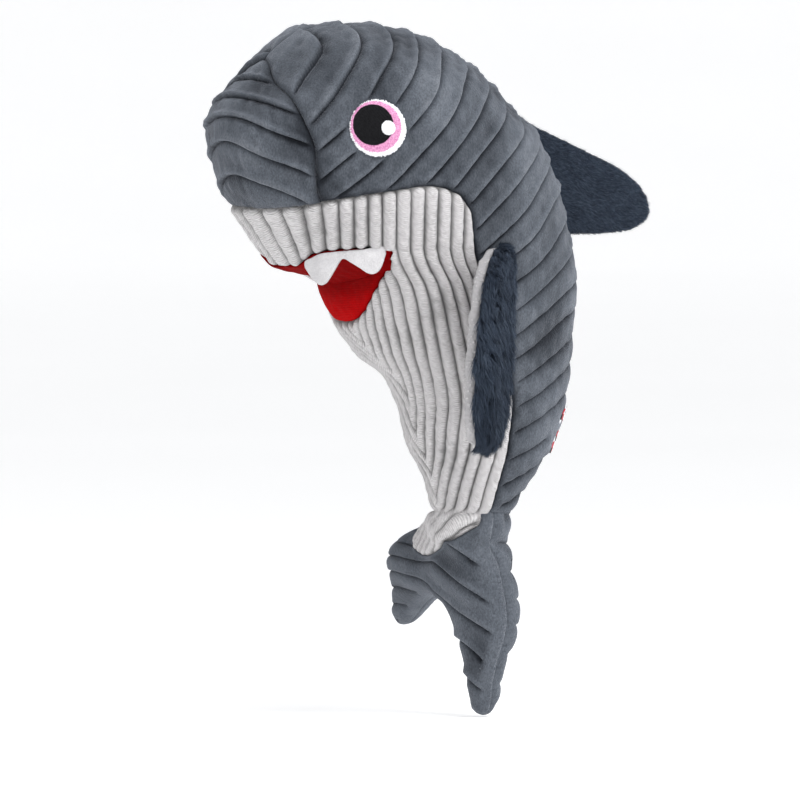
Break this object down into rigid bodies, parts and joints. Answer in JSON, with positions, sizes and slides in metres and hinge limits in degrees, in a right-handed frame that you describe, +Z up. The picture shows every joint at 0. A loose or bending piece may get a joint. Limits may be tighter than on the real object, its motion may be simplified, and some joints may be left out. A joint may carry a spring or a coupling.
{
  "type": "plush shark toy",
  "caption": "Upright stuffed shark toy with a bowed head, open felt-lined mouth, pleated back, ribbed belly, faux-fur fins and a swinging two-lobed tail.",
  "frame": {"origin": "bottom centre of the toy's box, under the tail tip's level", "axes": "+Z up along the body to the head, -Y the way the face looks, +X the shark's left side"},
  "size_m": [0.1663, 0.2148, 0.3037],
  "materials": {
    "stuffing": "loose polyester fibre",
    "squeaker_plastic": "soft blown plastic",
    "red_felt": "brushed red felt",
    "white_corduroy": "wide-wale chenille corduroy",
    "grey_plush": "pin-tucked short-pile plush",
    "white_thread": "filled embroidery",
    "pink_thread": "filled embroidery",
    "black_thread": "filled embroidery",
    "white_felt": "stiff felt",
    "emblem_thread": "filled embroidery",
    "navy_fur": "long-pile faux fur",
    "white_plush": "short-pile plush"
  },
  "bodies": {
    "body": {"body_stuffing": "stuffing", "squeaker_bulb": "squeaker_plastic", "squeaker_reed": "squeaker_plastic", "palate_lining": "red_felt", "lower_mouth_lining": "red_felt", "upper_lip_panel": "white_corduroy", "belly_panel": "white_corduroy", "forehead_gusset": "grey_plush", "back_panel_left": "grey_plush", "back_panel_right": "grey_plush", "eye_sclera_left": "white_thread", "eye_sclera_right": "white_thread", "eye_iris_left": "pink_thread", "eye_iris_right": "pink_thread", "eye_pupil_left": "black_thread", "eye_pupil_right": "black_thread", "eye_glint_left": "white_thread", "eye_glint_right": "white_thread", "teeth_left": "white_felt", "teeth_right": "white_felt", "back_emblem": "emblem_thread"},
    "tail": {"tail_stuffing": "stuffing", "tail_back_panel": "grey_plush", "tail_front_panel": "grey_plush", "tail_belly_patch": "white_corduroy"},
    "dorsal_fin": {"dorsal_fin_left_face": "navy_fur", "dorsal_fin_right_face": "navy_fur"},
    "left_pectoral_fin": {"left_pectoral_fur_face": "navy_fur", "left_pectoral_lining": "white_plush"},
    "right_pectoral_fin": {"right_pectoral_fur_face": "navy_fur", "right_pectoral_lining": "white_plush"}
  },
  "joints": [
    {"name": "tail_swing", "type": "hinge", "parent": "body", "child": "tail", "pos_m": [0, 0.02, 0.088], "axis": [0, 1, 0], "range_deg": [-60, 6], "stiffness_Nm_per_rad": 0.12},
    {"name": "dorsal_fin_flop", "type": "hinge", "parent": "body", "child": "dorsal_fin", "pos_m": [0, 0.0558, 0.2366], "axis": [0, -0.3998, 0.9166], "range_deg": [-25, 25], "stiffness_Nm_per_rad": 0.02},
    {"name": "left_pectoral_flap", "type": "hinge", "parent": "body", "child": "left_pectoral_fin", "pos_m": [0.061, -0.01, 0.2065], "axis": [0, -1, 0], "range_deg": [0, 60], "stiffness_Nm_per_rad": 0.01},
    {"name": "right_pectoral_flap", "type": "hinge", "parent": "body", "child": "right_pectoral_fin", "pos_m": [-0.061, -0.01, 0.2065], "axis": [0, 1, 0], "range_deg": [0, 60], "stiffness_Nm_per_rad": 0.01}
  ]
}
